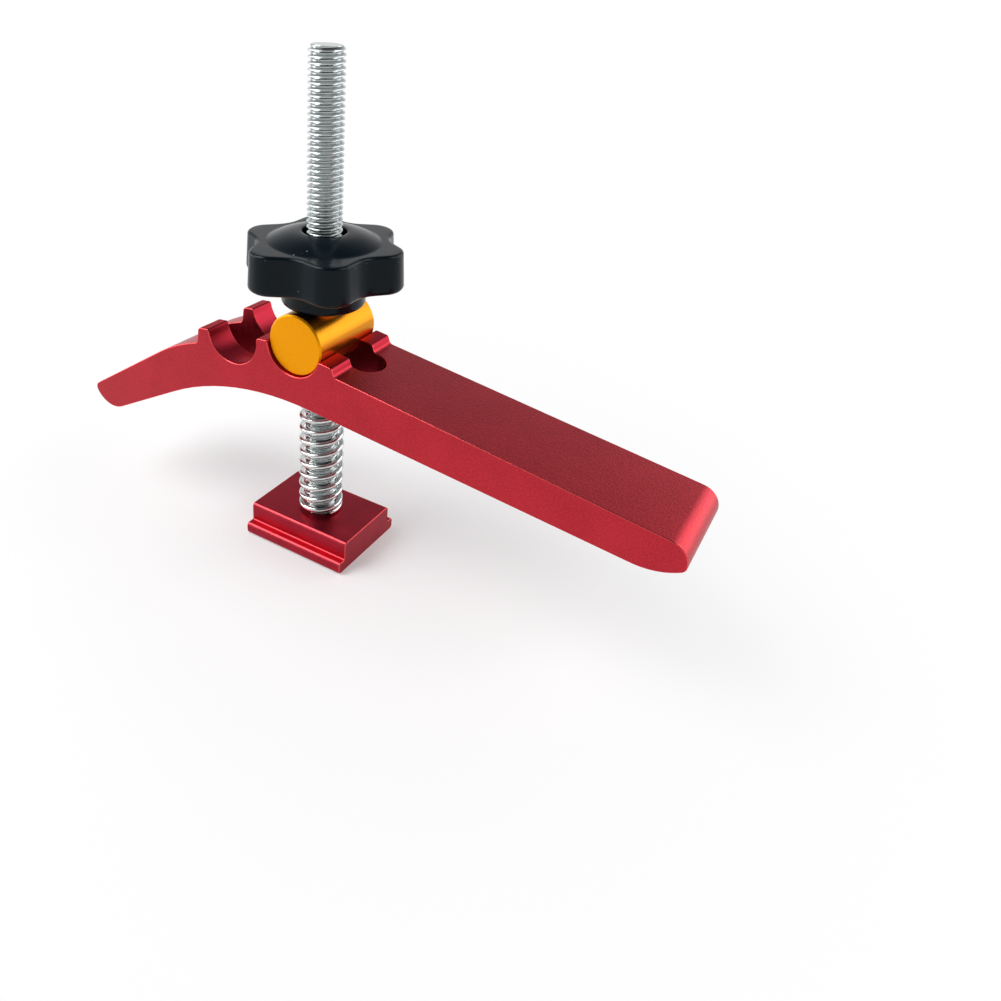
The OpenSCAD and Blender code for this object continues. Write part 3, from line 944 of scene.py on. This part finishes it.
class CLAMP_OT_stage(bpy.types.Operator):
    """Lays the pale floor, hangs the lamps and sets the camera"""
    bl_idname = "clamp.stage"
    bl_label = "Stage"

    def floor(self, pale):
        """A floor that the camera and metal see as white, and that takes the clamp's shadow.

        The white grows outwards from the stud, and is whole where the shadow has ended.
        """
        half, drop = 3.0, 0.02 * MM
        floor = made_mesh("floor", [(-half, -half, -drop), (half, -half, -drop),
                                    (half, half, -drop), (-half, half, -drop)], [[0, 1, 2, 3]])
        f = Finish.named("Pale floor")
        away = f.node("ShaderNodeVectorMath", {"operation": "LENGTH"}, {0: f.at()}, "Value")
        seen, shiny, through = f.rays()
        white = f.node("ShaderNodeEmission", {}, {"Color": solid(WHITE), "Strength": 1.0})
        plain = f.node("ShaderNodeBsdfDiffuse", {}, {"Color": solid(pale)})
        # Metres from the stud: the rise begins before 0, so a little white lies at the stud too
        start, whole = -0.06, 0.17
        share = (seen + shiny + through).math("MINIMUM", 1.0) * away.ramp(start, whole)
        both = f.node("ShaderNodeMixShader", {}, {0: share, 1: plain, 2: white})
        f.node("ShaderNodeOutputMaterial", {}, {"Surface": both})
        floor.data.materials.append(f.owner)

    def studio(self, scene):
        """The world: pale at the horizon, darker overhead and on the side where the camera stands.

        The camera sees plain white, and so does metal up to the height of the background behind
        the clamp.
        """
        scene.world = bpy.data.worlds.new("Studio")
        w = Finish(scene.world)
        x, y, height = w.split(w.node("ShaderNodeTexCoord", output="Generated"))
        front = (x * 0.59 - y * 0.81).ramp(0.30, 0.85)
        sky = w.blend(height.ramp(0.10, 1.0), (0.95, 0.95, 0.97), (0.08, 0.08, 0.09))
        tone = w.blend(front, sky, (0.04, 0.045, 0.05))
        seen, shiny, through = w.rays()
        mirrored = (shiny + through) * (1.0 - height.ramp(0.10, 0.40))
        shade = w.blend((seen + mirrored).math("MINIMUM", 1.0), tone, WHITE)
        back = w.node("ShaderNodeBackground", {}, {"Color": shade, "Strength": 1.0})
        w.node("ShaderNodeOutputWorld", {}, {"Surface": back})

    def lamp(self, name, towards, distance, size, energy):
        """A rectangular lamp in a direction from the clamp's middle, facing it."""
        data = bpy.data.lights.new(name, "AREA")
        data.shape = "RECTANGLE"
        data.size, data.size_y = size
        data.energy = energy
        middle = Vector((0.01, 0, 0.05))
        way = Vector(towards).normalized()
        lamp = linked(name, data)
        lamp.location = middle + way * distance
        lamp.rotation_euler = way.to_track_quat("Z", "Y").to_euler()

    def camera(self, scene):
        """The photograph's viewpoint: its lens, shift and place, and its turn in degrees."""
        data = bpy.data.cameras.new("Camera")
        data.sensor_fit = "HORIZONTAL"
        data.sensor_width = 36.0
        data.lens = 31.72262
        data.shift_x, data.shift_y = 0.070430, -0.150350
        data.clip_start, data.clip_end = 0.01, 20.0
        camera = linked("Camera", data)
        camera.location = (0.109376, -0.148044, 0.138409)
        camera.rotation_euler = np.radians((64.7193, -3.6905, 30.5460))
        scene.camera = camera

    def execute(self, context):
        scene = context.scene
        scene.view_settings.view_transform = "Standard"
        self.floor(scene.clamp_colours.floor)
        self.studio(scene)
        self.lamp("Key", (-0.55, -0.40, 0.75), 0.60, (0.40, 0.40), 3.6)
        self.lamp("Rim", (0.62, 0.70, 0.34), 0.55, (0.42, 0.48), 1.0)
        self.lamp("Right", (0.85, 0.25, 0.80), 0.60, (0.26, 0.26), 0.9)
        self.lamp("Left", (-0.95, -0.35, 0.15), 0.60, (0.36, 0.26), 0.9)
        self.camera(scene)
        return {"FINISHED"}


class CLAMP_PT_panel(bpy.types.Panel):
    """The clamp's operators in the 3D view's sidebar"""
    bl_idname = "CLAMP_PT_panel"
    bl_label = "Strap clamp"
    bl_space_type = "VIEW_3D"
    bl_region_type = "UI"
    bl_category = "Clamp"

    def draw(self, context):
        column = self.layout.column()
        for operator in OPERATORS:
            column.operator(operator.bl_idname)


OPERATORS = (CLAMP_OT_stage, CLAMP_OT_nut, CLAMP_OT_stud, CLAMP_OT_spring, CLAMP_OT_barrel,
             CLAMP_OT_arm, CLAMP_OT_knob)
CLASSES = (ClampSizes, ClampColours) + OPERATORS + (CLAMP_PT_panel,)


def register():
    """Registers the classes, and gives each scene the clamp's sizes and colours."""
    for kind in CLASSES:
        bpy.utils.register_class(kind)
    bpy.types.Scene.clamp_sizes = bpy.props.PointerProperty(type=ClampSizes)
    bpy.types.Scene.clamp_colours = bpy.props.PointerProperty(type=ClampColours)


def unregister():
    """Undoes what register does."""
    del bpy.types.Scene.clamp_colours
    del bpy.types.Scene.clamp_sizes
    for kind in reversed(CLASSES):
        bpy.utils.unregister_class(kind)


def main():
    """Registers the add-on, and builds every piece."""
    register()
    for operator in OPERATORS:
        group, name = operator.bl_idname.split(".")
        getattr(getattr(bpy.ops, group), name)()


if __name__ == "__main__":
    main()
